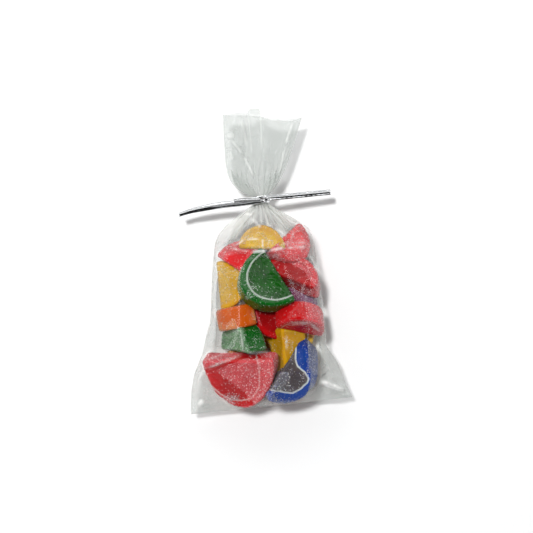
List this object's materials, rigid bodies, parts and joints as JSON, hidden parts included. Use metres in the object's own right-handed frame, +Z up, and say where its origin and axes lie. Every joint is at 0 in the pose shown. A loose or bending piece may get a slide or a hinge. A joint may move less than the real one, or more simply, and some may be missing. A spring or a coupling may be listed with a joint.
{
  "type": "tied bag of gummy fruit slices",
  "caption": "Clear film bag filled with sugared half-round fruit jelly slices, flat sealed at the bottom, gathered at the neck with a foil twist tie, lying on its back.",
  "frame": {"origin": "on the table, under the middle of the lying bag's bounding box", "axes": "+Y from the sealed bottom to the open mouth, +Z up from the table through the shown front, +X to the right seen from above"},
  "size_m": [0.089, 0.1648, 0.0416],
  "materials": {
    "bag": "clear glossy film over sugared translucent fruit jellies",
    "tie": "bright silver foil strip on a wire"
  },
  "bodies": {
    "root": {"filled_bag": "bag", "twist_tie": "tie"}
  },
  "joints": []
}
